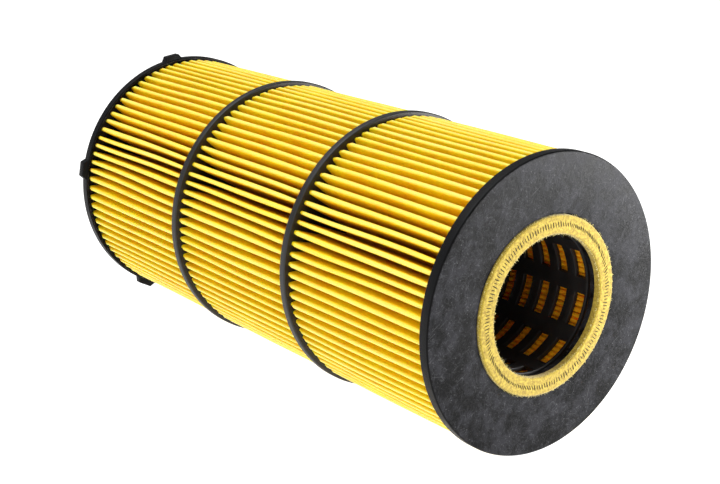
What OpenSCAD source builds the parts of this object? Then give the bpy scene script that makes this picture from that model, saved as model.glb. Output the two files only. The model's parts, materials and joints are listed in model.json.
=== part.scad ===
// Three-stage oil filter insert for a lubricating oil filter housing.
// A pleated paper ring in three stages is held between two end caps and two
// stage discs, around a windowed core tube in three lengths. A felt seal ring
// in each end cap slides over the standpipe of the housing.
// The insert lies along X. The front cap faces +X, +Z is up, and the origin is
// on the axis at half the length between the end cap faces. Sizes are in mm.

/* [Overall] */

// Outer diameter of the end caps and stage discs
outer_d = 121; // [100:1:146]

// Bore of the felt seals, which fits the standpipe
bore_d = 57; // [48:1:69]

// Free length of paper in the front stage, rim to disc
front_stage_l = 84; // [60:1:110]

// Free length of paper in the middle and rear stages
back_stage_l = 81; // [60:1:110]

/* [End caps and discs] */

// Axial width of the end cap rims
rim_w = 4.2; // [3.5:0.1:6]

// Axial width of the stage discs
disc_w = 3.4; // [2.8:0.1:6]

// Thickness of an end cap's plate
plate_t = 3.2; // [2.6:0.1:3.4]

// Height of the collar around the bore behind the plate
collar_h = 1.3; // [0.5:0.1:3]

// Wall of the skirt that closes around the pleat tips
skirt_t = 1; // [0.8:0.1:2]

// Chamfer around an end cap's face
face_c = 0.8; // [0.4:0.1:1.2]

// Chamfer on the edges of the stage discs
disc_c = 0.4; // [0.2:0.1:0.6]

/* [Felt seals] */

// Radial width of the felt
felt_w = 7.5; // [5:0.5:10]

// Thickness of the felt
felt_t = 3; // [2.4:0.1:4]

// How far the felt stands proud of the cap face
felt_proud = 1.1; // [0.8:0.1:2]

// Gap around the felt in its seat
seat_gap = 0.3; // [0.1:0.1:0.6]

/* [Pleats] */

// Number of pleats around each stage
pleat_count = 84; // [60:1:100]

// Thickness of the paper
paper_t = 0.75; // [0.5:0.05:0.9]

// Share of the outer pitch filled by one fold
tip_fill = 0.46; // [0.4:0.01:0.9]

// Share of the inner pitch filled by one fold
root_fill = 0.91; // [0.85:0.01:0.95]

// Gap between the pleat tips and the cap skirt
tip_gap = 0.1; // [0.05:0.05:0.5]

/* [Core tube] */

// Wall of the core tube
core_wall = 2; // [1.4:0.1:3]

// Gap between the core tube and the inner folds
core_gap = 0.2; // [0.1:0.05:0.6]

// Gap between a cap's collar and the end of the core tube
core_end_gap = 1.3; // [0.3:0.1:4]

// Windows around the core tube
window_columns = 9; // [6:1:12]

// Angle spanned by one window
window_a = 26.4; // [16:0.2:28]

// Height of one window along the axis
window_h = 5; // [3:0.1:7]

// Spacing of the window rows along the axis
window_pitch = 9.6; // [8:0.1:14]

/* [Lugs] */

// Number of lugs on the rear cap
lug_count = 5; // [3:1:6]

// How far a lug stands out from the rim
lug_reach = 2.3; // [1:0.1:4]

// Width of a lug where it leaves the rim
lug_base_w = 11; // [8:0.5:16]

// Width of a lug at its tip
lug_tip_w = 7; // [4:0.5:8]

/* [Hidden] */

$fn = 96;

outer_r = outer_d / 2;
bore_r = bore_d / 2;

// Plastic bores stand back from the felt, so that only felt wipes the standpipe
cap_bore_gap = 0.3;
core_bore_gap = 0.1;
cap_bore_r = bore_r + cap_bore_gap;
core_in_r = bore_r + core_bore_gap;
core_out_r = core_in_r + core_wall;

felt_r = bore_r + felt_w;
felt_edge = 0.5;
seat_r = felt_r + seat_gap;
seat_depth = felt_t - felt_proud;

body_l = 2 * rim_w + 2 * disc_w + front_stage_l + 2 * back_stage_l;
half_l = body_l / 2;

front_disc_x = half_l - rim_w - front_stage_l - disc_w;
rear_disc_x = front_disc_x - back_stage_l - disc_w;

front_pack_l = front_stage_l + rim_w - plate_t;
middle_pack_l = back_stage_l;
rear_pack_l = back_stage_l + rim_w - plate_t;
rear_pack_x = rear_disc_x - rear_pack_l;

core_setback = plate_t + collar_h + core_end_gap;
front_core_l = front_stage_l + rim_w - core_setback;
rear_core_l = back_stage_l + rim_w - core_setback;
rear_core_x = rear_disc_x - rear_core_l;
core_margin = 1.2;
window_phase = 111.6;

// Pleat section: one tip circle and one root circle per pitch, joined by flanks
pleat_a = 360 / pleat_count;
pack_r = outer_r - skirt_t - tip_gap;
pack_in_r = core_out_r + core_gap;
collar_gap = 0.5;
collar_r = pack_in_r - collar_gap;
tip_r = tip_fill * PI * pack_r / pleat_count;
root_r = root_fill * PI * pack_in_r / pleat_count;
tip_c = pack_r - tip_r;
root_c = pack_in_r + root_r;
flank_run = [root_c * cos(pleat_a / 2) - tip_c, root_c * sin(pleat_a / 2)];
flank_a = atan2(flank_run[1], flank_run[0]) - acos((tip_r + root_r - paper_t) / norm(flank_run));
root_a = 180 + pleat_a / 2 - flank_a;
tip_seg = 5;
root_seg = 3;

// The seam is a bead between two flanks, from near the tips to mid-depth
seam_from = 0.2;
seam_to = 0.65;
front_seam_a = 22;
middle_seam_a = 36;
rear_seam_a = 9;

// The lugs stand on the rim, clear of its chamfer and of its other edge
lug_inset = 0.4;
lug_w = rim_w - face_c - 2 * lug_inset;
lug_root = 0.8;
lug_phase = 45.5;

plastic = "#2b2b2d";
paper = "#f0cf2a";
felt = "#efe3a0";
glue = "#d9c07a";

function polar(r, a) = [r * cos(a), r * sin(a)];

function tip_arc(i, r) = [
    for (k = [0:tip_seg])
        polar(tip_c, i * pleat_a) + polar(r, i * pleat_a - flank_a + 2 * flank_a * k / tip_seg)
];

function root_arc(i, r) =
    let (middle = (i + 0.5) * pleat_a, turn = 360 - 2 * root_a) [
        for (k = [0:root_seg])
            polar(root_c, middle) + polar(r, middle - root_a - turn * k / root_seg)
    ];

// Rows of windows that fit in a core tube of length l, less one
function last_row(l) = floor((l - window_h - 2 * core_margin) / window_pitch);

function pleat_line(tip, root) = [
    for (i = [0:pleat_count - 1])
        each concat(tip_arc(i, tip), root_arc(i, root))
];

// Point on the valley side of a flank, from the tip (0) to the root (1)
function flank_point(f, side) =
    let (start = polar(tip_c, 0) + polar(tip_r, flank_a))
    let (end = polar(root_c, pleat_a / 2) - polar(root_r - paper_t, flank_a))
    let (p = start + f * (end - start))
    polar(norm(p), pleat_a / 2 + side * (pleat_a / 2 - atan2(p[1], p[0])));

// Turns work drawn along Z to lie along X, with its foot at x
module along_x(x) {
    rotate([0, 90, 0])
        translate([0, 0, x])
            children();
}

// End cap with its face at z = 0, and its plate, skirt and bore collar below
module cap_body() {
    rotate_extrude()
        polygon([
            [cap_bore_r, -plate_t - collar_h],
            [cap_bore_r, -seat_depth],
            [seat_r, -seat_depth],
            [seat_r, 0],
            [outer_r - face_c, 0],
            [outer_r, -face_c],
            [outer_r, -rim_w],
            [outer_r - skirt_t, -rim_w],
            [outer_r - skirt_t, -plate_t],
            [collar_r, -plate_t],
            [collar_r, -plate_t - collar_h]
        ]);
}

// Felt ring with its outer face at z = felt_proud
module felt_body() {
    rotate_extrude()
        polygon([
            [bore_r, -seat_depth],
            [felt_r, -seat_depth],
            [felt_r, felt_proud - felt_edge],
            [felt_r - felt_edge, felt_proud],
            [bore_r + felt_edge, felt_proud],
            [bore_r, felt_proud - felt_edge]
        ]);
}

module disc_body() {
    rotate_extrude()
        polygon([
            [core_in_r, 0],
            [outer_r - disc_c, 0],
            [outer_r, disc_c],
            [outer_r, disc_w - disc_c],
            [outer_r - disc_c, disc_w],
            [core_in_r, disc_w]
        ]);
}

module pack_body(l) {
    outside = pleat_line(tip_r, root_r - paper_t);
    inside = pleat_line(tip_r - paper_t, root_r);
    count = len(outside);
    linear_extrude(height = l)
        polygon(
            points = concat(outside, inside),
            paths = [[for (i = [0:count - 1]) i], [for (i = [0:count - 1]) count + i]]
        );
}

module seam_body(l) {
    linear_extrude(height = l)
        polygon([
            flank_point(seam_from, -1),
            flank_point(seam_to, -1),
            flank_point(seam_to, 1),
            flank_point(seam_from, 1)
        ]);
}

// Core tube from z = 0 to l, with its first row of windows centred at first
module core_body(l, first) {
    difference() {
        cylinder(h = l, r = core_out_r);
        translate([0, 0, -1])
            cylinder(h = l + 2, r = core_in_r);
        for (row = [0:last_row(l)])
            for (column = [0:window_columns - 1])
                rotate([0, 0, window_phase - window_a / 2 + column * 360 / window_columns])
                    translate([0, 0, first + row * window_pitch])
                        rotate_extrude(angle = window_a)
                            translate([core_in_r - 1, -window_h / 2])
                                square([core_wall + 2, window_h]);
    }
}

module lug() {
    translate([0, 0, face_c + lug_inset])
        linear_extrude(height = lug_w)
            polygon([
                [outer_r - lug_root, -lug_base_w / 2],
                [outer_r + lug_reach, -lug_tip_w / 2],
                [outer_r + lug_reach, lug_tip_w / 2],
                [outer_r - lug_root, lug_base_w / 2]
            ]);
}

module front_end_cap() {
    color(plastic)
        along_x(half_l)
            cap_body();
}

module front_felt_seal() {
    color(felt)
        along_x(half_l)
            felt_body();
}

module front_pleat_pack() {
    color(paper)
        along_x(front_disc_x + disc_w)
            rotate([0, 0, front_seam_a])
                pack_body(front_pack_l);
}

module front_pack_seam() {
    color(glue)
        along_x(front_disc_x + disc_w)
            rotate([0, 0, front_seam_a])
                seam_body(front_pack_l);
}

module front_core_tube() {
    top_row = front_core_l - core_margin - window_h / 2;
    color(plastic)
        along_x(front_disc_x + disc_w)
            core_body(front_core_l, top_row - last_row(front_core_l) * window_pitch);
}

module front_stage_disc() {
    color(plastic)
        along_x(front_disc_x)
            disc_body();
}

module middle_pleat_pack() {
    color(paper)
        along_x(rear_disc_x + disc_w)
            rotate([0, 0, middle_seam_a])
                pack_body(middle_pack_l);
}

module middle_pack_seam() {
    color(glue)
        along_x(rear_disc_x + disc_w)
            rotate([0, 0, middle_seam_a])
                seam_body(middle_pack_l);
}

module middle_core_tube() {
    color(plastic)
        along_x(rear_disc_x + disc_w)
            core_body(back_stage_l, (back_stage_l - last_row(back_stage_l) * window_pitch) / 2);
}

module rear_stage_disc() {
    color(plastic)
        along_x(rear_disc_x)
            disc_body();
}

module rear_pleat_pack() {
    color(paper)
        along_x(rear_pack_x)
            rotate([0, 0, rear_seam_a])
                pack_body(rear_pack_l);
}

module rear_pack_seam() {
    color(glue)
        along_x(rear_pack_x)
            rotate([0, 0, rear_seam_a])
                seam_body(rear_pack_l);
}

module rear_core_tube() {
    color(plastic)
        along_x(rear_core_x)
            core_body(rear_core_l, core_margin + window_h / 2);
}

module rear_end_cap() {
    color(plastic)
        along_x(-half_l) {
            mirror([0, 0, 1])
                cap_body();
            for (i = [0:lug_count - 1])
                rotate([0, 0, lug_phase + i * 360 / lug_count])
                    lug();
        }
}

module rear_felt_seal() {
    color(felt)
        along_x(-half_l)
            mirror([0, 0, 1])
                felt_body();
}

front_end_cap();
front_felt_seal();
front_pleat_pack();
front_pack_seam();
front_core_tube();
front_stage_disc();
middle_pleat_pack();
middle_pack_seam();
middle_core_tube();
rear_stage_disc();
rear_pleat_pack();
rear_pack_seam();
rear_core_tube();
rear_end_cap();
rear_felt_seal();
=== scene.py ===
import json
import math

import bmesh
import bpy
from mathutils import Matrix, Vector


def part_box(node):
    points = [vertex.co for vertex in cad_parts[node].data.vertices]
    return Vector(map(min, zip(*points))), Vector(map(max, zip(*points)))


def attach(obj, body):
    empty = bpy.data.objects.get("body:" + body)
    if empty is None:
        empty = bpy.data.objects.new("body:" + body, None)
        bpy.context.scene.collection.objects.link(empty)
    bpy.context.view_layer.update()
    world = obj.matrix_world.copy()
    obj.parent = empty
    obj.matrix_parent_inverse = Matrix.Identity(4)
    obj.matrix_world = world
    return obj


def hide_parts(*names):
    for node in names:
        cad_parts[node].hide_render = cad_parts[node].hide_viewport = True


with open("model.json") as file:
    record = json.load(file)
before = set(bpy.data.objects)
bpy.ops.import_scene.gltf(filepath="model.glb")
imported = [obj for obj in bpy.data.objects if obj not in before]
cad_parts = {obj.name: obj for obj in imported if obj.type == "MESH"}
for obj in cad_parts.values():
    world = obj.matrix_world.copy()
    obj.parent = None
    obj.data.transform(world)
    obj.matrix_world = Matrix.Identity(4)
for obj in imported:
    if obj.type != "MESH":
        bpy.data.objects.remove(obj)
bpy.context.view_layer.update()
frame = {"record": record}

# Core tubes
# Three windowed tubes stand end to end inside the paper and carry the oil pressure.
# They are injection moulded in black glass-filled polyamide 66, so the walls are thin,
# the window edges are slightly rounded and the surface is matte with a fine grain.
MM = 0.001
core_wall = 2.0 * MM
window_columns = 9
window_angle = math.radians(26.4)
window_height = 5.0 * MM
window_pitch = 9.6 * MM
window_rows = 8
window_turn = math.radians(21.6)
band_at_plain_end = 1.2 * MM
segments_in_window = 7
segments_in_bar = 3


def linear(hex_code):
    """Turns an sRGB hex colour into the linear colour that a shader takes."""
    parts = [int(hex_code[i : i + 2], 16) / 255 for i in (1, 3, 5)]
    return [c / 12.92 if c <= 0.04045 else ((c + 0.055) / 1.055) ** 2.4 for c in parts] + [1.0]


def add(tree, kind, links=(), **settings):
    """Adds a node with its settings. Each link is a value, a socket, or a node, for its first output."""
    made = tree.nodes.new(kind)
    for name, value in settings.items():
        setattr(made, name, value)
    for entry, value in dict(links).items():
        if isinstance(value, bpy.types.Node):
            value = value.outputs[0]
        if isinstance(value, bpy.types.NodeSocket):
            tree.links.new(value, made.inputs[entry])
        else:
            made.inputs[entry].default_value = value
    return made


def start_material(name):
    """Makes an empty node material and returns it with its tree, its shader and its object coordinates."""
    material = bpy.data.materials.new(name)
    material.use_nodes = True
    tree = material.node_tree
    tree.nodes.clear()
    shader = add(tree, "ShaderNodeBsdfPrincipled")
    add(tree, "ShaderNodeOutputMaterial", {"Surface": shader})
    place = add(tree, "ShaderNodeTexCoord").outputs["Object"]
    return material, tree, shader, place


def start_shape(name, inputs):
    """Makes a geometry tree with named number inputs and returns it with its input and output nodes."""
    tree = bpy.data.node_groups.new(name, "GeometryNodeTree")
    tree.interface.new_socket("Geometry", in_out="INPUT", socket_type="NodeSocketGeometry")
    for label in inputs:
        tree.interface.new_socket(label, in_out="INPUT", socket_type="NodeSocketFloat")
    tree.interface.new_socket("Geometry", in_out="OUTPUT", socket_type="NodeSocketGeometry")
    return tree, tree.nodes.new("NodeGroupInput"), tree.nodes.new("NodeGroupOutput")


def shaped(name, tree, values, start_mesh=None):
    """Runs a geometry tree and returns its result as a plain mesh object with no modifier."""
    piece = bpy.data.objects.new(name, start_mesh or bpy.data.meshes.new(name))
    bpy.context.scene.collection.objects.link(piece)
    modifier = piece.modifiers.new("shape", "NODES")
    modifier.node_group = tree
    sockets = {s.name: s.identifier for s in tree.interface.items_tree if s.in_out == "INPUT"}
    for label, value in values.items():
        modifier[sockets[label]] = float(value)
    return settled(piece)


def settled(piece):
    """Replaces a piece's mesh with the result of its modifiers, and removes them."""
    seen = piece.evaluated_get(bpy.context.evaluated_depsgraph_get())
    mesh = bpy.data.meshes.new_from_object(seen)
    piece.modifiers.clear()
    piece.data = mesh
    mesh.name = piece.name
    return piece


def around_axis(tree, angle, radius):
    """Nodes that give the Y and Z of a point at an angle and a distance from the axis."""
    across = add(tree, "ShaderNodeMath", {0: angle}, operation="COSINE")
    up = add(tree, "ShaderNodeMath", {0: angle}, operation="SINE")
    return [add(tree, "ShaderNodeMath", {0: share, 1: radius}, operation="MULTIPLY")
            for share in (across, up)]


def from_axis(tree, place):
    """The distance of a surface point from the axis."""
    flat = add(tree, "ShaderNodeVectorMath", {0: place, 1: (0, 1, 1)}, operation="MULTIPLY")
    return add(tree, "ShaderNodeVectorMath", {0: flat}, operation="LENGTH").outputs["Value"]


def tidy_faces(piece, sharp_angle):
    """Merges doubled points, turns every face outwards and shades smooth except across sharp edges."""
    work = bmesh.new()
    work.from_mesh(piece.data)
    bmesh.ops.remove_doubles(work, verts=work.verts, dist=1e-6)
    bmesh.ops.recalc_face_normals(work, faces=work.faces)
    for face in work.faces:
        face.smooth = True
    work.to_mesh(piece.data)
    work.free()
    piece.data.set_sharp_from_angle(angle=math.radians(sharp_angle))


def fit_to_frame(piece, slot, *nodes):
    """Makes a piece ride the one rigid body and hides the CAD nodes it stands for."""
    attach(piece, "root")
    if nodes:
        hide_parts(*nodes)


# Polyamide 66 with glass fibre, moulded: charcoal rather than pure black, matte, with a
# cloudy skin where the fibres come near the surface.
polyamide, tree, shader, place = start_material("moulded glass-filled polyamide")
clouds = add(tree, "ShaderNodeTexNoise",
             {"Vector": place, "Scale": 1 / (9 * MM), "Detail": 6.0, "Roughness": 0.62})
tone = add(tree, "ShaderNodeValToRGB", {"Fac": clouds})
tone.color_ramp.elements[0].position = 0.36
tone.color_ramp.elements[0].color = linear("#0c0c0d")
tone.color_ramp.elements[1].position = 0.7
tone.color_ramp.elements[1].color = linear("#18181a")
grain = add(tree, "ShaderNodeTexNoise", {"Vector": place, "Scale": 1 / (0.5 * MM), "Detail": 3.0})
gloss = add(tree, "ShaderNodeMapRange", {"Value": clouds, "To Min": 0.42, "To Max": 0.62})
relief = add(tree, "ShaderNodeBump", {"Height": grain, "Strength": 0.25, "Distance": 0.06 * MM})
tree.links.new(tone.outputs[0], shader.inputs["Base Color"])
tree.links.new(gloss.outputs[0], shader.inputs["Roughness"])
tree.links.new(relief.outputs[0], shader.inputs["Normal"])
shader.inputs["IOR"].default_value = 1.53

# The tree lays out one flat sheet of square cells, drops the cells that are windows,
# then wraps the sheet around the axis and stretches its rows to their real places.
tube_tree, given, result = start_shape(
    "windowed tube", ["Columns", "Cells In Window", "Cells In Bar", "Window Angle", "Turn", "Radius",
                      "Start", "Length", "First Window", "Rows", "Window Height", "Window Pitch"])
sockets = given.outputs
cells_in_column = add(tube_tree, "ShaderNodeMath",
                      {0: sockets["Cells In Window"], 1: sockets["Cells In Bar"]})
cells_round = add(tube_tree, "ShaderNodeMath", {0: cells_in_column, 1: sockets["Columns"]},
                  operation="MULTIPLY")
cells_along = add(tube_tree, "ShaderNodeMath", {0: sockets["Rows"], 1: 2.0, 2: 1.0},
                  operation="MULTIPLY_ADD")
points_round = add(tube_tree, "ShaderNodeMath", {0: cells_round, 1: 1.0})
points_along = add(tube_tree, "ShaderNodeMath", {0: cells_along, 1: 1.0})
sheet = add(tube_tree, "GeometryNodeMeshGrid", {"Size X": cells_along, "Size Y": cells_round,
                                                "Vertices X": points_along, "Vertices Y": points_round})
spot = add(tube_tree, "ShaderNodeSeparateXYZ", {0: add(tube_tree, "GeometryNodeInputPosition")})
along = add(tube_tree, "ShaderNodeMath", {0: cells_along, 1: 0.5, 2: spot.outputs["X"]},
            operation="MULTIPLY_ADD")
around = add(tube_tree, "ShaderNodeMath", {0: cells_round, 1: 0.5, 2: spot.outputs["Y"]},
             operation="MULTIPLY_ADD")
in_column = add(tube_tree, "ShaderNodeMath", {0: around, 1: cells_in_column}, operation="FLOORED_MODULO")
in_pair = add(tube_tree, "ShaderNodeMath", {0: along, 1: 2.0}, operation="FLOORED_MODULO")
window_column = add(tube_tree, "ShaderNodeMath", {0: in_column, 1: sockets["Cells In Window"]},
                    operation="LESS_THAN")
window_row = add(tube_tree, "ShaderNodeMath", {0: in_pair, 1: 1.0}, operation="GREATER_THAN")
is_window = add(tube_tree, "ShaderNodeMath", {0: window_column, 1: window_row}, operation="MULTIPLY")
open_sheet = add(tube_tree, "GeometryNodeDeleteGeometry", {"Geometry": sheet, "Selection": is_window},
                 domain="FACE")
line_round = add(tube_tree, "ShaderNodeMath", {0: around}, operation="ROUND")
line_along = add(tube_tree, "ShaderNodeMath", {0: along}, operation="ROUND")
line_in_column = add(tube_tree, "ShaderNodeMath", {0: line_round, 1: cells_in_column},
                     operation="FLOORED_MODULO")
column_number = add(tube_tree, "ShaderNodeMath", {0: line_round, 1: line_in_column}, operation="SUBTRACT")
column_number = add(tube_tree, "ShaderNodeMath", {0: column_number, 1: cells_in_column}, operation="DIVIDE")
column_step = add(tube_tree, "ShaderNodeMath", {0: math.tau, 1: sockets["Columns"]}, operation="DIVIDE")
bar_angle = add(tube_tree, "ShaderNodeMath", {0: column_step, 1: sockets["Window Angle"]},
                operation="SUBTRACT")
window_share = add(tube_tree, "ShaderNodeMapRange",
                   {"Value": line_in_column, "From Max": sockets["Cells In Window"],
                    "To Max": sockets["Window Angle"]})
bar_share = add(tube_tree, "ShaderNodeMapRange",
                {"Value": line_in_column, "From Min": sockets["Cells In Window"],
                 "From Max": cells_in_column, "To Max": bar_angle})
angle = add(tube_tree, "ShaderNodeMath", {0: column_number, 1: column_step, 2: window_share},
            operation="MULTIPLY_ADD")
angle = add(tube_tree, "ShaderNodeMath", {0: angle, 1: bar_share})
angle = add(tube_tree, "ShaderNodeMath", {0: angle, 1: sockets["Turn"]})
half_window = add(tube_tree, "ShaderNodeMath", {0: sockets["Window Angle"], 1: 0.5}, operation="MULTIPLY")
angle = add(tube_tree, "ShaderNodeMath", {0: angle, 1: half_window}, operation="SUBTRACT")
row_number = add(tube_tree, "ShaderNodeMath", {0: line_along, 1: 1.0}, operation="SUBTRACT")
row_number = add(tube_tree, "ShaderNodeMath", {0: row_number, 1: 2.0}, operation="DIVIDE")
row_floor = add(tube_tree, "ShaderNodeMath", {0: row_number}, operation="FLOOR")
row_side = add(tube_tree, "ShaderNodeMath", {0: row_number, 1: row_floor}, operation="SUBTRACT")
row_side = add(tube_tree, "ShaderNodeMath", {0: row_side, 1: 2.0, 2: -0.5}, operation="MULTIPLY_ADD")
row_place = add(tube_tree, "ShaderNodeMath",
                {0: row_floor, 1: sockets["Window Pitch"], 2: sockets["First Window"]},
                operation="MULTIPLY_ADD")
row_place = add(tube_tree, "ShaderNodeMath", {0: row_side, 1: sockets["Window Height"], 2: row_place},
                operation="MULTIPLY_ADD")
after_start = add(tube_tree, "ShaderNodeMath", {0: line_along, 1: 0.5}, operation="GREATER_THAN")
row_place = add(tube_tree, "ShaderNodeMath", {0: row_place, 1: after_start}, operation="MULTIPLY")
past_rows = add(tube_tree, "ShaderNodeMath", {0: line_along, 1: cells_along}, operation="SUBTRACT")
at_end = add(tube_tree, "ShaderNodeMath", {0: past_rows, 1: -0.5}, operation="GREATER_THAN")
distance = add(tube_tree, "ShaderNodeMix", {0: at_end, 2: row_place, 3: sockets["Length"]})
distance = add(tube_tree, "ShaderNodeMath", {0: distance, 1: sockets["Start"]})
side, height = around_axis(tube_tree, angle, sockets["Radius"])
new_place = add(tube_tree, "ShaderNodeCombineXYZ", {0: distance, 1: side, 2: height})
wrapped = add(tube_tree, "GeometryNodeSetPosition", {"Geometry": open_sheet, "Position": new_place})
closed = add(tube_tree, "GeometryNodeMergeByDistance", {"Geometry": wrapped, "Distance": 1e-6})
real = add(tube_tree, "GeometryNodeRealizeInstances", {"Geometry": closed})
finish = add(tube_tree, "GeometryNodeSetMaterial", {"Geometry": real, "Material": polyamide})
tube_tree.links.new(finish.outputs[0], result.inputs[0])

stage_names = ["front", "middle", "rear"]
for stage in stage_names:
    low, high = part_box(stage + "_core_tube")
    length = high.x - low.x
    rows_span = (window_rows - 1) * window_pitch
    first_window = {"front": length - band_at_plain_end - window_height / 2 - rows_span,
                    "middle": (length - rows_span) / 2,
                    "rear": band_at_plain_end + window_height / 2}[stage]
    tube = shaped(stage + "_core", tube_tree, {
        "Columns": window_columns, "Cells In Window": segments_in_window, "Cells In Bar": segments_in_bar,
        "Window Angle": window_angle, "Turn": window_turn, "Radius": high.z - core_wall,
        "Start": low.x, "Length": length, "First Window": first_window, "Rows": window_rows,
        "Window Height": window_height, "Window Pitch": window_pitch})
    tidy_faces(tube, 40)
    wall = tube.modifiers.new("wall", "SOLIDIFY")
    wall.thickness = core_wall
    wall.offset = 1.0
    edges = tube.modifiers.new("rounded edges", "BEVEL")
    edges.width = 0.25 * MM
    edges.segments = 2
    edges.angle_limit = math.radians(50)
    settled(tube)
    tidy_faces(tube, 40)
    fit_to_frame(tube, "black_polyamide", stage + "_core_tube")

# Pleated paper
# Each stage is one sheet of filter paper folded into 84 pleats and closed into a ring. The
# paper is cellulose cured with yellow resin, about 0.75 mm thick, and its edges are welded
# into the plates. Each crest is a narrow bend, and deep open flanks lie between the crests.
pleats = 84
paper = 0.75 * MM
core_gap = 0.2 * MM
spread_share = 0.44
nipped_share = 0.38
root_share = 0.91
nip_length = 13 * MM
tip_steps = 8
root_steps = 3
low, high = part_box("front_pleat_pack")
paper_outer = high.z
core_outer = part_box("front_core_tube")[1].z
paper_inner = core_outer + core_gap
half_pitch = math.pi / pleats


def fold_section(share):
    """Half of a fold's outline, from crest to valley, as (reach, swing) for the outer and the inner skin.

    Reach is the distance from the axis. Swing is the angle from the fold's middle, in half pitches.
    """
    tip = share * math.pi * paper_outer / pleats
    root = root_share * math.pi * paper_inner / pleats
    crest = Vector((paper_outer - tip, 0))
    valley = Vector((math.cos(half_pitch), math.sin(half_pitch))) * (paper_inner + root)
    run = valley - crest
    lean = math.atan2(run.y, run.x) - math.acos((tip + root - paper) / run.length)
    skins = []
    for depth in (0, paper):
        outline = []
        for step in range(tip_steps + 1):
            turn = lean * step / tip_steps
            outline.append(crest + (tip - depth) * Vector((math.cos(turn), math.sin(turn))))
        flank_end = valley - (root - paper + depth) * Vector((math.cos(lean), math.sin(lean)))
        outline.append(outline[-1].lerp(flank_end, 0.5))
        for step in range(root_steps + 1):
            turn = lean + math.pi + (half_pitch - lean) * step / root_steps
            outline.append(valley + (root - paper + depth) * Vector((math.cos(turn), math.sin(turn))))
        skins.append([(p.length, math.atan2(p.y, p.x) / half_pitch) for p in outline])
    return skins


def both_sides(half):
    """A whole outline, valley to valley, from the half between crest and valley."""
    return [(reach, -swing) for reach, swing in reversed(half)] + half[1:]


def section_mesh(name, spread, nipped, stations, joined):
    """A bar along X from 0 to 1 between two skins.

    Its points carry their places when the folds are spread and when they are nipped.
    """
    mesh = bpy.data.meshes.new(name)
    count = len(spread[0])
    ring = 2 * count
    points = [(x, swing, reach) for x in stations for skin in spread for reach, swing in skin]
    steps = [(k + i, k + i + 1) for k in (0, count) for i in range(count - 1)]
    if joined:
        steps += [(0, count), (count - 1, ring - 1)]
    faces = [(s * ring + i, s * ring + j, (s + 1) * ring + j, (s + 1) * ring + i)
             for s in range(len(stations) - 1) for i, j in steps]
    last = (len(stations) - 1) * ring
    faces += [(e + i, e + i + 1, e + count + i + 1, e + count + i) for e in (0, last)
              for i in range(count - 1)]
    mesh.from_pydata(points, [], faces)
    for label, skins, part in (("spread_reach", spread, 0), ("spread_swing", spread, 1),
                               ("nipped_reach", nipped, 0), ("nipped_swing", nipped, 1)):
        layer = mesh.attributes.new(label, "FLOAT", "POINT")
        layer.data.foreach_set("value", [p[part] for _ in stations for skin in skins for p in skin])
    return mesh


def stations_along(length):
    """Shares of the length at which the folds have points, closer together near the plates."""
    near = [0, 0.6, 1.5, 2.8, 4.8, 7.5, 11, 15, 21, 29]
    share = [d * MM / length for d in near]
    return share + [0.5] + [1 - s for s in reversed(share)]


# The tree copies one fold around the axis, then moves every point: the folds open away from
# the plates, the pitch wanders smoothly along and around the ring, and each crest varies.
fold_tree, given, result = start_shape(
    "pleated ring", ["Folds", "Pitch", "Turn", "Start", "Length", "Nip Length", "Wander", "Wander Length",
                     "Crest Variation", "Tuck", "Tuck Length", "Valley Reach", "Crest Reach", "Seed"])
sockets = given.outputs
places = add(fold_tree, "GeometryNodeMeshLine", {"Count": sockets["Folds"], "Offset": (0, 0, 0)})
copies = add(fold_tree, "GeometryNodeInstanceOnPoints", {"Points": places, "Instance": sockets["Geometry"]})
numbered = add(fold_tree, "GeometryNodeStoreNamedAttribute", {
    "Geometry": copies, "Name": "fold_number", "Value": add(fold_tree, "GeometryNodeInputIndex")},
               domain="INSTANCE")
folds = add(fold_tree, "GeometryNodeRealizeInstances", {"Geometry": numbered})


def stored(label):
    """The value that each point carries under a name."""
    return add(fold_tree, "GeometryNodeInputNamedAttribute", {"Name": label})


share = add(fold_tree, "ShaderNodeSeparateXYZ",
            {0: add(fold_tree, "GeometryNodeInputPosition")}).outputs["X"]
other_share = add(fold_tree, "ShaderNodeMath", {0: 1.0, 1: share}, operation="SUBTRACT")
nearest = add(fold_tree, "ShaderNodeMath", {0: share, 1: other_share}, operation="MINIMUM")
from_plate = add(fold_tree, "ShaderNodeMath", {0: nearest, 1: sockets["Length"]}, operation="MULTIPLY")
spread = add(fold_tree, "ShaderNodeMapRange", {"Value": from_plate, "From Max": sockets["Nip Length"]},
             interpolation_type="SMOOTHSTEP")
reach = add(fold_tree, "ShaderNodeMix", {0: spread, 2: stored("nipped_reach"), 3: stored("spread_reach")})
swing = add(fold_tree, "ShaderNodeMix", {0: spread, 2: stored("nipped_swing"), 3: stored("spread_swing")})
turns = add(fold_tree, "ShaderNodeMath", {0: swing, 1: 0.5, 2: stored("fold_number")},
            operation="MULTIPLY_ADD")
ideal = add(fold_tree, "ShaderNodeMath", {0: turns, 1: sockets["Pitch"], 2: sockets["Turn"]},
            operation="MULTIPLY_ADD")
noise_ring = add(fold_tree, "ShaderNodeMath", {0: 0.42, 1: sockets["Pitch"]}, operation="DIVIDE")
ring_x, ring_y = around_axis(fold_tree, ideal, noise_ring)
distance = add(fold_tree, "ShaderNodeMath", {0: share, 1: sockets["Length"]}, operation="MULTIPLY")
ring_z = add(fold_tree, "ShaderNodeMath", {0: distance, 1: sockets["Wander Length"]}, operation="DIVIDE")
noise_spot = add(fold_tree, "ShaderNodeCombineXYZ", {0: ring_x, 1: ring_y, 2: ring_z})
drift = add(fold_tree, "ShaderNodeTexNoise", {"Vector": noise_spot, "W": sockets["Seed"], "Scale": 1.0,
                                              "Detail": 0.0}, noise_dimensions="4D")
drift_amount = add(fold_tree, "ShaderNodeMath", {0: drift, 1: 0.5}, operation="SUBTRACT")
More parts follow.
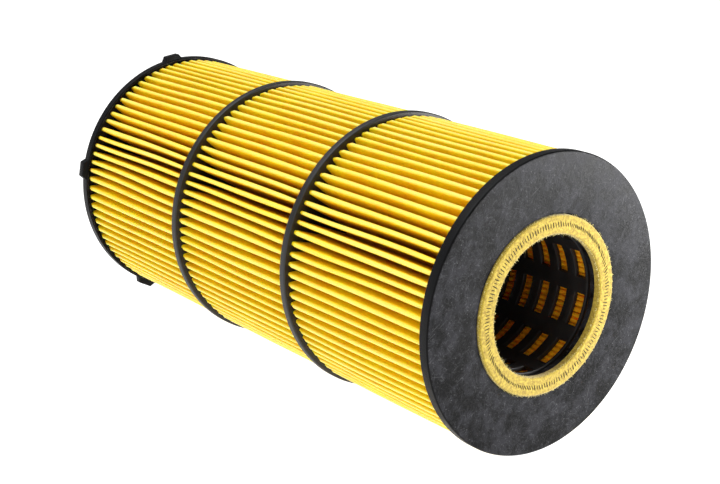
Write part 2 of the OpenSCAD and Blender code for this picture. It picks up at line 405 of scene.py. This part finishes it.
angle = add(fold_tree, "ShaderNodeMath", {0: drift_amount, 1: sockets["Wander"], 2: ideal},
            operation="MULTIPLY_ADD")
crest_part = add(fold_tree, "ShaderNodeMapRange", {
    "Value": reach, "From Min": sockets["Valley Reach"], "From Max": sockets["Crest Reach"]})
other_seed = add(fold_tree, "ShaderNodeMath", {0: sockets["Seed"], 1: 31.0})
rise = add(fold_tree, "ShaderNodeTexNoise", {"Vector": noise_spot, "W": other_seed, "Scale": 1.3,
                                             "Detail": 0.0}, noise_dimensions="4D")
rise_amount = add(fold_tree, "ShaderNodeMapRange", {
    "Value": rise, "From Min": 0.25, "From Max": 0.75, "To Min": -1.0, "To Max": 0.0})
rise_amount = add(fold_tree, "ShaderNodeMath", {0: rise_amount, 1: sockets["Crest Variation"]},
                  operation="MULTIPLY")
tuck = add(fold_tree, "ShaderNodeMapRange", {"Value": from_plate, "From Max": sockets["Tuck Length"],
                                             "To Min": sockets["Tuck"], "To Max": 0.0},
           interpolation_type="SMOOTHERSTEP")
lift = add(fold_tree, "ShaderNodeMath", {0: rise_amount, 1: tuck}, operation="SUBTRACT")
reach = add(fold_tree, "ShaderNodeMath", {0: lift, 1: crest_part, 2: reach}, operation="MULTIPLY_ADD")
place_x = add(fold_tree, "ShaderNodeMath", {0: distance, 1: sockets["Start"]})
place_y, place_z = around_axis(fold_tree, angle, reach)
new_place = add(fold_tree, "ShaderNodeCombineXYZ", {0: place_x, 1: place_y, 2: place_z})
laid = add(fold_tree, "GeometryNodeSetPosition", {"Geometry": folds, "Position": new_place})
closed = add(fold_tree, "GeometryNodeMergeByDistance", {"Geometry": laid, "Distance": 1e-6})
real = add(fold_tree, "GeometryNodeRealizeInstances", {"Geometry": closed})
fold_finish = add(fold_tree, "GeometryNodeSetMaterial", {"Geometry": real})
fold_tree.links.new(fold_finish.outputs[0], result.inputs[0])

# Cellulose filter paper cured with phenolic resin: saturated yellow, slightly uneven where
# the resin soaked in, with a fine felted fibre surface and a soft waxy sheen. The crests are
# painted paler as a painted highlight, and the valleys are painted deeper orange as painted shade.
filter_paper, tree, shader, place = start_material("resin-cured filter paper")
soak = add(tree, "ShaderNodeTexNoise",
           {"Vector": place, "Scale": 1 / (14 * MM), "Detail": 5.0, "Roughness": 0.6})
tone = add(tree, "ShaderNodeValToRGB", {"Fac": soak})
tone.color_ramp.elements[0].position = 0.35
tone.color_ramp.elements[0].color = linear("#f7c806")
tone.color_ramp.elements[1].position = 0.68
tone.color_ramp.elements[1].color = linear("#fddc10")
stretch = add(tree, "ShaderNodeMapping", {"Vector": place, "Scale": (0.35, 1.0, 1.0)})
fibre = add(tree, "ShaderNodeTexNoise",
            {"Vector": stretch, "Scale": 1 / (0.7 * MM), "Detail": 4.0, "Roughness": 0.7})
fibre_tone = add(tree, "ShaderNodeMapRange",
                 {"Value": fibre, "From Min": 0.3, "From Max": 0.7, "To Min": 0.9,
                  "To Max": 1.08})
mixed = add(tree, "ShaderNodeVectorMath", {0: tone, 1: fibre_tone}, operation="MULTIPLY")
reached = from_axis(tree, place)
# Painted highlight: the paper is painted a paler cream along the crests.
crest_highlight_share = add(tree, "ShaderNodeMapRange", {"Value": reached, "From Min": paper_outer - 0.8 * MM,
                                            "From Max": paper_outer - 0.1 * MM, "To Max": 0.8})
# Painted shade: the paper is painted a deeper orange down into the valleys between the folds.
valley_shade_share = add(tree, "ShaderNodeMapRange", {"Value": reached, "From Min": paper_outer - 3 * MM,
                                             "From Max": paper_inner, "To Max": 0.9})
crest_highlighted = add(tree, "ShaderNodeMix", {0: crest_highlight_share, 6: mixed, 7: linear("#fde876")}, data_type="RGBA")
mixed = add(tree, "ShaderNodeMix", {0: valley_shade_share, 6: crest_highlighted.outputs[2], 7: linear("#f09e0c")},
            data_type="RGBA")
relief = add(tree, "ShaderNodeBump", {"Height": fibre, "Strength": 0.3, "Distance": 0.08 * MM})
tree.links.new(mixed.outputs[2], shader.inputs["Base Color"])
tree.links.new(relief.outputs[0], shader.inputs["Normal"])
shader.inputs["Roughness"].default_value = 0.5
shader.inputs["IOR"].default_value = 1.5
shader.inputs["Subsurface Weight"].default_value = 0.6
shader.inputs["Subsurface Radius"].default_value = (1.0, 0.6, 0.1)
shader.inputs["Subsurface Scale"].default_value = 1.2 * MM

spread_skins = [both_sides(skin) for skin in fold_section(spread_share)]
nipped_skins = [both_sides(skin) for skin in fold_section(nipped_share)]
seam_turns = {"front": math.radians(22 - 90), "middle": math.radians(36 - 90), "rear": math.radians(9 - 90)}
paper_settings = {
    "Pitch": 2 * half_pitch, "Nip Length": nip_length, "Wander": math.radians(2.0),
    "Wander Length": 70 * MM,
    "Crest Variation": 0.35 * MM, "Tuck": 0.9 * MM, "Tuck Length": 3.0 * MM,
    "Valley Reach": paper_inner + 6 * MM, "Crest Reach": paper_outer}
fold_finish.inputs["Material"].default_value = filter_paper
for number, stage in enumerate(stage_names):
    low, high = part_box(stage + "_pleat_pack")
    length = high.x - low.x
    fold = section_mesh("fold", spread_skins, nipped_skins, stations_along(length), joined=False)
    ring = shaped(stage + "_paper", fold_tree, {
        **paper_settings, "Folds": pleats, "Turn": seam_turns[stage], "Start": low.x, "Length": length,
        "Seed": 3.0 + 7 * number}, fold)
    tidy_faces(ring, 50)
    fit_to_frame(ring, "yellow_filter_paper", stage + "_pleat_pack")

# Pack seams
# The two ends of each pleated sheet are bonded flank to flank by a bead of amber hot-melt
# glue that fills one valley from just under the crests to mid-depth.
hot_melt, tree, shader, place = start_material("amber hot-melt glue")
flow = add(tree, "ShaderNodeTexNoise", {"Vector": place, "Scale": 1 / (5 * MM), "Detail": 2.0})
tone = add(tree, "ShaderNodeValToRGB", {"Fac": flow})
tone.color_ramp.elements[0].color = linear("#b98a3a")
tone.color_ramp.elements[1].color = linear("#dcb866")
tree.links.new(tone.outputs[0], shader.inputs["Base Color"])
shader.inputs["Roughness"].default_value = 0.3
shader.inputs["IOR"].default_value = 1.48
fold_finish.inputs["Material"].default_value = hot_melt


def bead_sides(share):
    """The two flanks that the glue fills between, from near the crests to mid-depth."""
    outer, _ = fold_section(share)
    top, foot = outer[tip_steps], outer[tip_steps + 2]
    side = [(top[0] + (foot[0] - top[0]) * f, top[1] + (foot[1] - top[1]) * f) for f in (0.2, 0.42, 0.65)]
    return [side, [(reach, 2 - swing) for reach, swing in side]]


for number, stage in enumerate(stage_names):
    low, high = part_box(stage + "_pleat_pack")
    length = high.x - low.x
    bar = section_mesh("bar", bead_sides(spread_share), bead_sides(nipped_share), stations_along(length),
                       joined=True)
    bead = shaped(stage + "_seam", fold_tree, {
        **paper_settings, "Folds": 1, "Turn": seam_turns[stage], "Start": low.x, "Length": length,
        "Seed": 3.0 + 7 * number}, bar)
    tidy_faces(bead, 50)
    fit_to_frame(bead, "hot_melt", stage + "_pack_seam")

# Stage discs
# Two flat moulded rings of the same polyamide part the stages. The paper is welded to both
# of their faces, the core tubes stand against them, and their outer edges are rounded.
disc_edge = 0.6 * MM
disc_clearance = 0.1 * MM
bore_radius = frame["record"]["mounts"][0]["dims"]["r_mm"] * MM
turn_steps = 256


def rounded(corner, before, after, radius, steps):
    """Points of the arc that rounds a corner between the points before and after it."""
    corner, before, after = Vector(corner), Vector(before), Vector(after)
    start = corner + (before - corner).normalized() * radius
    end = corner + (after - corner).normalized() * radius
    centre = start + end - corner
    points = []
    for step in range(steps + 1):
        way = start.lerp(end, step / steps) - centre
        points.append(centre + way.normalized() * radius)
    return points


def turned(name, outline, radii, material):
    """Turns a closed outline of (distance along X, radius) around X. Radii round its corners."""
    mesh = bpy.data.meshes.new(name)
    points = []
    for i, corner in enumerate(outline):
        if radii[i] > 0:
            points += rounded(corner, outline[i - 1], outline[(i + 1) % len(outline)], radii[i], 5)
        else:
            points.append(Vector(corner))
    count = len(points)
    places = []
    for step in range(turn_steps):
        angle = math.tau * step / turn_steps
        places += [(p.x, p.y * math.cos(angle), p.y * math.sin(angle)) for p in points]
    faces = []
    for step in range(turn_steps):
        here, there = step * count, (step + 1) % turn_steps * count
        faces += [(here + i, here + (i + 1) % count, there + (i + 1) % count, there + i)
                  for i in range(count)]
    mesh.from_pydata(places, [], faces)
    mesh.materials.append(material)
    piece = bpy.data.objects.new(name, mesh)
    bpy.context.scene.collection.objects.link(piece)
    tidy_faces(piece, 35)
    return piece


for stage in ("front", "rear"):
    low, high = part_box(stage + "_stage_disc")
    inside, outside = bore_radius + disc_clearance, high.z
    disc = turned(stage + "_disc", [(low.x, inside), (low.x, outside), (high.x, outside), (high.x, inside)],
                  [0, disc_edge, disc_edge, 0], polyamide)
    fit_to_frame(disc, "black_polyamide", stage + "_stage_disc")

# End caps
# A shallow moulded cup closes each end: a flat plate with a felt seat in front of the bore, a
# low collar behind it, and a skirt over the paper's crests. The rear one has five lugs.
plate = 3.2 * MM
face_edge = 0.8 * MM
collar_height = 1.3 * MM
collar_gap = 0.5 * MM
collar_radius = paper_inner - collar_gap
skirt = 1.0 * MM
felt_proud = 1.1 * MM
seat_depth = 1.9 * MM
seat_gap = 0.3 * MM
cap_bore_gap = 0.3 * MM
cap_bore = bore_radius + cap_bore_gap
felt_width = 7.5 * MM
lug_count = 5
lug_turn = math.radians(45.5 - 90)
lug_reach = 2.3 * MM
lug_base = 11 * MM
lug_tip = 7 * MM
cap_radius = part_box("front_end_cap")[1].z


# The same polyamide after handling: the flat face is scuffed grey, with cloudy patches where
# glass fibres show through, curled scuffs, a few hairline scratches and pale dust specks. The
# rounded edge is painted near black as painted shade, and the skirt is charcoal.
scuffed, tree, shader, place = start_material("scuffed glass-filled polyamide")
patches = add(tree, "ShaderNodeTexNoise",
              {"Vector": place, "Scale": 1 / (13 * MM), "Detail": 9.0, "Roughness": 0.78})
tone = add(tree, "ShaderNodeValToRGB", {"Fac": patches})
tone.color_ramp.elements[0].position = 0.44
tone.color_ramp.elements[0].color = linear("#030304")
tone.color_ramp.elements[1].position = 0.58
tone.color_ramp.elements[1].color = linear("#29292d")
curls = add(tree, "ShaderNodeTexNoise",
            {"Vector": place, "Scale": 1 / (4 * MM), "Detail": 3.0, "Distortion": 2.0})
off_line = add(tree, "ShaderNodeMath", {0: curls, 1: 0.5}, operation="SUBTRACT")
off_line = add(tree, "ShaderNodeMath", {0: off_line}, operation="ABSOLUTE")
worn = add(tree, "ShaderNodeMapRange",
           {"Value": off_line, "From Min": 0.0, "From Max": 0.018, "To Min": 0.45,
            "To Max": 0.0})
for turn, across in ((12, 0.5), (101, 0.45), (146, 0.6)):
    turned_place = add(tree, "ShaderNodeMapping", {"Vector": place, "Rotation": (math.radians(turn), 0, 0)})
    streak_place = add(tree, "ShaderNodeMapping", {"Vector": turned_place, "Scale": (1.0, 0.045, 1.0)})
    streak = add(tree, "ShaderNodeTexNoise",
                 {"Vector": streak_place, "Scale": 1 / (across * MM), "Detail": 2.0})
    line = add(tree, "ShaderNodeMapRange", {"Value": streak, "From Min": 0.7, "From Max": 0.82})
    worn = add(tree, "ShaderNodeMath", {0: worn, 1: line}, operation="MAXIMUM")
dust_place = add(tree, "ShaderNodeTexVoronoi", {"Vector": place, "Scale": 1 / (2.4 * MM)})
dust = add(tree, "ShaderNodeMapRange",
           {"Value": dust_place, "From Min": 0.05, "From Max": 0.11, "To Min": 1.0,
            "To Max": 0.0})
marks = add(tree, "ShaderNodeMath", {0: worn, 1: dust}, operation="MAXIMUM")
marks_share = add(tree, "ShaderNodeMath", {0: marks, 1: patches}, operation="MULTIPLY")
marked = add(tree, "ShaderNodeMix", {0: marks_share, 6: tone, 7: linear("#77777a")}, data_type="RGBA")
reached = from_axis(tree, place)
# Painted shade: the rounded edge of the face is painted near black. The skirt beyond it is plain charcoal.
on_shaded_edge_and_skirt = add(tree, "ShaderNodeMapRange", {"Value": reached, "From Min": cap_radius - 0.5 * MM,
                                            "From Max": cap_radius - 0.3 * MM})
past_shaded_edge = add(tree, "ShaderNodeMapRange", {"Value": reached, "From Min": cap_radius - 0.08 * MM,
                                             "From Max": cap_radius - 0.04 * MM})
edge_shade_and_skirt = add(tree, "ShaderNodeMix", {0: past_shaded_edge, 6: linear("#020202"), 7: linear("#101012")},
            data_type="RGBA")
coloured = add(tree, "ShaderNodeMix", {0: on_shaded_edge_and_skirt, 6: marked.outputs[2], 7: edge_shade_and_skirt.outputs[2]},
               data_type="RGBA")
gloss = add(tree, "ShaderNodeMapRange",
            {"Value": patches, "From Min": 0.35, "From Max": 0.7, "To Min": 0.34,
             "To Max": 0.55})
relief = add(tree, "ShaderNodeBump", {"Height": patches, "Strength": 0.8, "Distance": 0.4 * MM})
tree.links.new(coloured.outputs[2], shader.inputs["Base Color"])
tree.links.new(gloss.outputs[0], shader.inputs["Roughness"])
tree.links.new(relief.outputs[0], shader.inputs["Normal"])
shader.inputs["IOR"].default_value = 1.53
shader.inputs["Specular IOR Level"].default_value = 0.09


def cap(name, face, into):
    """A cap with its face at x = face, whose body lies on the side that into points to."""
    seat = bore_radius + felt_width + seat_gap
    rim = abs(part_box("front_end_cap")[1].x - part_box("front_end_cap")[0].x)
    back = plate + collar_height
    outline = [(back, cap_bore), (seat_depth, cap_bore), (seat_depth, seat), (0, seat), (0, cap_radius),
               (rim, cap_radius), (rim, cap_radius - skirt), (plate, cap_radius - skirt),
               (plate, collar_radius),
               (back, collar_radius)]
    radii = [0, 0, 0, 0.3 * MM, face_edge, 0.3 * MM, 0, 0, 0, 0.3 * MM]
    return turned(name, [(face + into * depth, radius) for depth, radius in outline], radii, scuffed)


front_cap = cap("front_cap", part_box("front_end_cap")[1].x, -1)
fit_to_frame(front_cap, "black_polyamide", "front_end_cap")

low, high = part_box("rear_end_cap")
rear_cap = cap("rear_cap", low.x, 1)
work = bmesh.new()
for number in range(lug_count):
    angle = lug_turn + math.tau * number / lug_count
    out = Vector((0, math.cos(angle), math.sin(angle)))
    across = Vector((0, -math.sin(angle), math.cos(angle)))
    corners = []
    for x in (low.x + 0.4 * MM, high.x - 0.4 * MM):
        for radius, half in ((cap_radius - 0.8 * MM, lug_base / 2), (cap_radius + lug_reach, lug_tip / 2)):
            corners += [work.verts.new(Vector((x, 0, 0)) + out * radius + across * side * half)
                        for side in (-1, 1)]
    a, b, c, d, e, f, g, h = corners
    for face in ((a, b, d, c), (e, g, h, f), (a, c, g, e), (b, f, h, d), (c, d, h, g), (a, e, f, b)):
        work.faces.new(face)
bmesh.ops.recalc_face_normals(work, faces=work.faces)
lug_edges = [e for e in work.edges if max(math.hypot(v.co.y, v.co.z) for v in e.verts) > cap_radius]
bmesh.ops.bevel(work, geom=lug_edges, offset=0.4 * MM, segments=3, affect="EDGES", profile=0.5)
work.from_mesh(rear_cap.data)
work.to_mesh(rear_cap.data)
work.free()
tidy_faces(rear_cap, 35)
fit_to_frame(rear_cap, "black_polyamide", "rear_end_cap")

# Felt seals
# A ring of needled wool felt sits in each cap and wipes the standpipe. It is cut from thick
# felt, so its edges are soft and hairy, and a ring of short stitches holds it in its seat.
felt_edge = 0.9 * MM
felt, tree, shader, place = start_material("needled wool felt")
matting = add(tree, "ShaderNodeTexNoise",
              {"Vector": place, "Scale": 1 / (1.1 * MM), "Detail": 6.0, "Roughness": 0.7})
tone = add(tree, "ShaderNodeValToRGB", {"Fac": matting})
tone.color_ramp.elements[0].position = 0.33
tone.color_ramp.elements[0].color = linear("#86690e")
tone.color_ramp.elements[1].position = 0.66
tone.color_ramp.elements[1].color = linear("#d0b740")
relief = add(tree, "ShaderNodeBump", {"Height": matting, "Strength": 0.7, "Distance": 0.25 * MM})
tree.links.new(tone.outputs[0], shader.inputs["Base Color"])
tree.links.new(relief.outputs[0], shader.inputs["Normal"])
shader.inputs["Roughness"].default_value = 0.95
shader.inputs["Sheen Weight"].default_value = 0.4
shader.inputs["Sheen Roughness"].default_value = 0.5

# The tree sets small shapes in a ring at one place along X. Each one leans in the plane of the
# face by an amount that swells twice a turn, or by a random amount, and tips out of the face.
ring_tree, given, result = start_shape(
    "ring of small shapes",
    ["Count", "Place", "Radius", "Radius Spread", "Start Angle", "Lean", "Lean Peak",
     "Random Lean", "Tip", "Random Tip", "Size Spread", "Seed"])
sockets = given.outputs
points = add(ring_tree, "GeometryNodeMeshLine", {"Count": sockets["Count"], "Offset": (0, 0, 0)})
number = add(ring_tree, "GeometryNodeInputIndex")
step_angle = add(ring_tree, "ShaderNodeMath", {0: math.tau, 1: sockets["Count"]}, operation="DIVIDE")
angle = add(ring_tree, "ShaderNodeMath", {0: number, 1: step_angle, 2: sockets["Start Angle"]},
            operation="MULTIPLY_ADD")


def chance(spread, offset):
    """A number from minus to plus spread, different for each shape."""
    seed = add(ring_tree, "ShaderNodeMath", {0: sockets["Seed"], 1: float(offset)})
    lowest = add(ring_tree, "ShaderNodeMath", {0: spread, 1: -1.0}, operation="MULTIPLY")
    return add(ring_tree, "FunctionNodeRandomValue",
               {2: lowest, 3: spread, "ID": number, "Seed": seed}).outputs[1]


radius = add(ring_tree, "ShaderNodeMath", {0: sockets["Radius"], 1: chance(sockets["Radius Spread"], 1)})
place_y, place_z = around_axis(ring_tree, angle, radius)
new_place = add(ring_tree, "ShaderNodeCombineXYZ", {0: sockets["Place"], 1: place_y, 2: place_z})
laid = add(ring_tree, "GeometryNodeSetPosition", {"Geometry": points, "Position": new_place})
from_peak = add(ring_tree, "ShaderNodeMath", {0: angle, 1: sockets["Lean Peak"]}, operation="SUBTRACT")
swell = add(ring_tree, "ShaderNodeMath", {0: from_peak}, operation="COSINE")
swell = add(ring_tree, "ShaderNodeMath", {0: swell}, operation="ABSOLUTE")
swell = add(ring_tree, "ShaderNodeMath", {0: swell, 1: 5.0}, operation="POWER")
lean = add(ring_tree, "ShaderNodeMath",
           {0: swell, 1: sockets["Lean"], 2: chance(sockets["Random Lean"], 2)},
           operation="MULTIPLY_ADD")
facing = add(ring_tree, "ShaderNodeMath", {0: angle, 1: lean})
tip = add(ring_tree, "ShaderNodeMath", {0: sockets["Tip"], 1: chance(sockets["Random Tip"], 3)})
tipped = add(ring_tree, "FunctionNodeEulerToRotation",
             {0: add(ring_tree, "ShaderNodeCombineXYZ", {2: tip})})
turned_round = add(ring_tree, "FunctionNodeEulerToRotation", {0: add(ring_tree, "ShaderNodeCombineXYZ",
                                                                     {0: facing})})
stance = add(ring_tree, "FunctionNodeRotateRotation", {0: turned_round, 1: tipped}, rotation_space="LOCAL")
size = add(ring_tree, "ShaderNodeMath", {0: 1.0, 1: chance(sockets["Size Spread"], 4)})
set_round = add(ring_tree, "GeometryNodeInstanceOnPoints", {
    "Points": laid, "Instance": sockets["Geometry"], "Rotation": stance, "Scale": size})
real = add(ring_tree, "GeometryNodeRealizeInstances", {"Geometry": set_round})
ring_finish = add(ring_tree, "GeometryNodeSetMaterial", {"Geometry": real})
ring_tree.links.new(ring_finish.outputs[0], result.inputs[0])


def spindle(name, length, thickness, start):
    """A six-sided spindle along Y. Start is the share of its length that lies behind the origin."""
    mesh = bpy.data.meshes.new(name)
    points = [(0, -start * length, 0)]
    for share in (0.2, 0.75):
        for side in range(6):
            turn = math.tau * side / 6
            points.append((thickness / 2 * math.cos(turn), (share - start) * length,
                           thickness / 2 * math.sin(turn)))
    points.append((0, (1 - start) * length, 0))
    faces = [(0, 1 + i, 1 + (i + 1) % 6) for i in range(6)]
    faces += [(1 + i, 7 + i, 7 + (i + 1) % 6, 1 + (i + 1) % 6) for i in range(6)]
    faces += [(13, 7 + (i + 1) % 6, 7 + i) for i in range(6)]
    mesh.from_pydata(points, [], faces)
    return mesh


# Waxed binding thread, dark from handling, sunk into the felt's face.
thread, tree, shader, place = start_material("waxed binding thread")
strands = add(tree, "ShaderNodeTexNoise", {"Vector": place, "Scale": 1 / (0.8 * MM), "Detail": 2.0})
tone = add(tree, "ShaderNodeValToRGB", {"Fac": strands})
tone.color_ramp.elements[0].color = linear("#1c1804")
tone.color_ramp.elements[1].color = linear("#4c420e")
tree.links.new(tone.outputs[0], shader.inputs["Base Color"])
shader.inputs["Roughness"].default_value = 0.8

# Loose wool hairs: paler than the matted felt, and drawn 0.1 mm thick so that they show.
wool, tree, shader, place = start_material("loose wool hairs")
tufts = add(tree, "ShaderNodeTexNoise", {"Vector": place, "Scale": 1 / (3 * MM), "Detail": 2.0})
tone = add(tree, "ShaderNodeValToRGB", {"Fac": tufts})
tone.color_ramp.elements[0].color = linear("#d8c45c")
tone.color_ramp.elements[1].color = linear("#f6efb4")
tree.links.new(tone.outputs[0], shader.inputs["Base Color"])
shader.inputs["Roughness"].default_value = 0.9
shader.inputs["Sheen Weight"].default_value = 0.3

stitch_count = 150
stitch_length = 2.7 * MM
stitch_thickness = 0.4 * MM
stitch_circle = bore_radius + 3.9 * MM
hair_length = 1.2 * MM
hair_thickness = 0.1 * MM
outer = bore_radius + felt_width
hair_rings = (("inner", bore_radius + 0.3 * MM, math.pi, 420), ("outer", outer - 0.35 * MM, 0, 380))
for end, into in (("front", -1), ("rear", 1)):
    low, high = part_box(end + "_felt_seal")
    face = high.x if end == "front" else low.x
    foot = face + into * (felt_proud + seat_depth)
    ring = turned(end + "_felt", [(foot, bore_radius), (foot, outer), (face, outer), (face, bore_radius)],
                  [0, 0, felt_edge, felt_edge], felt)
    fit_to_frame(ring, "cream_felt", end + "_felt_seal")

    ring_finish.inputs["Material"].default_value = thread
    stitches = shaped(end + "_felt_stitches", ring_tree, {
        "Count": stitch_count, "Place": face + into * 0.03 * MM, "Radius": stitch_circle,
        "Radius Spread": 0.15 * MM, "Start Angle": 0, "Lean": math.radians(60),
        "Lean Peak": math.radians(50),
        "Random Lean": 0.15, "Tip": 0, "Random Tip": 0.03, "Size Spread": 0.2, "Seed": 5},
                      spindle("stitch", stitch_length, stitch_thickness, 0.5))
    fit_to_frame(stitches, "cream_felt")

    ring_finish.inputs["Material"].default_value = wool
    for label, edge, inward, count in hair_rings:
        hairs = shaped(end + "_felt_hairs_" + label, ring_tree, {
            "Count": count, "Place": face + into * 0.5 * MM, "Radius": edge, "Radius Spread": 0.3 * MM,
            "Start Angle": 0, "Lean": 0, "Lean Peak": 0, "Random Lean": 1.0, "Tip": inward,
            "Random Tip": 0.35, "Size Spread": 0.45, "Seed": 11},
                       spindle("hair", hair_length, hair_thickness, 0.3))
        fit_to_frame(hairs, "cream_felt")

# Floor, light and camera
# The insert lies on its rims on a white floor that glows like a light table, under a large
# soft light from above, with a small light low on the front cap's far side and a weak one on
# the near side.
floor_height = -cap_radius
floor_mesh = bpy.data.meshes.new("floor")
floor_half = 6.0
floor_corners = [(-floor_half, -floor_half), (floor_half, -floor_half),
                 (floor_half, floor_half), (-floor_half, floor_half)]
floor_mesh.from_pydata([(x, y, floor_height) for x, y in floor_corners], [], [(0, 1, 2, 3)])
floor = bpy.data.objects.new("floor", floor_mesh)
bpy.context.scene.collection.objects.link(floor)
pale, tree, shader, place = start_material("pale studio floor")
shader.inputs["Base Color"].default_value = linear("#a4a4a2")
shader.inputs["Roughness"].default_value = 0.9
shader.inputs["Emission Color"].default_value = linear("#ffffff")
shader.inputs["Emission Strength"].default_value = 1.15
floor_mesh.materials.append(pale)

world = bpy.data.worlds.new("studio")
bpy.context.scene.world = world
world.use_nodes = True
backdrop = world.node_tree.nodes["Background"]
backdrop.inputs["Color"].default_value = linear("#fbfbfa")
backdrop.inputs["Strength"].default_value = 0.36


def soft_light(name, spot, aim, size, power):
    """A square soft light at one point, turned towards another."""
    lamp = bpy.data.lights.new(name, "AREA")
    lamp.size = size
    lamp.energy = power
    holder = bpy.data.objects.new(name, lamp)
    holder.location = spot
    holder.rotation_euler = (Vector(aim) - Vector(spot)).to_track_quat("-Z", "Y").to_euler()
    bpy.context.scene.collection.objects.link(holder)


soft_light("overhead", (-0.1, -0.25, 0.9), (0, 0, 0), 0.8, 9)
soft_light("far side light", (0.3, 0.24, 0.05), (0.13, 0.02, 0.02), 0.16, 1.5)
soft_light("near side light", (0.38, -0.6, 0.2), (0.1, 0, 0), 0.3, 0.8)

camera_data = bpy.data.cameras.new("camera")
camera_data.sensor_width = 36
camera_data.lens = 69.4
camera = bpy.data.objects.new("camera", camera_data)
azimuth, elevation, roll = (math.radians(a) for a in (51.204, 16.072, 1.789))
aim_turn = (Matrix.Rotation(azimuth, 4, "Z") @ Matrix.Rotation(math.pi / 2 - elevation, 4, "X")
            @ Matrix.Rotation(roll, 4, "Z"))
front_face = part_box("front_end_cap")[1].x
camera.matrix_world = Matrix.Translation((front_face + 0.34702, -0.37152, 0.16819)) @ aim_turn
bpy.context.scene.collection.objects.link(camera)
bpy.context.scene.camera = camera
bpy.context.scene.view_settings.view_transform = "Standard"
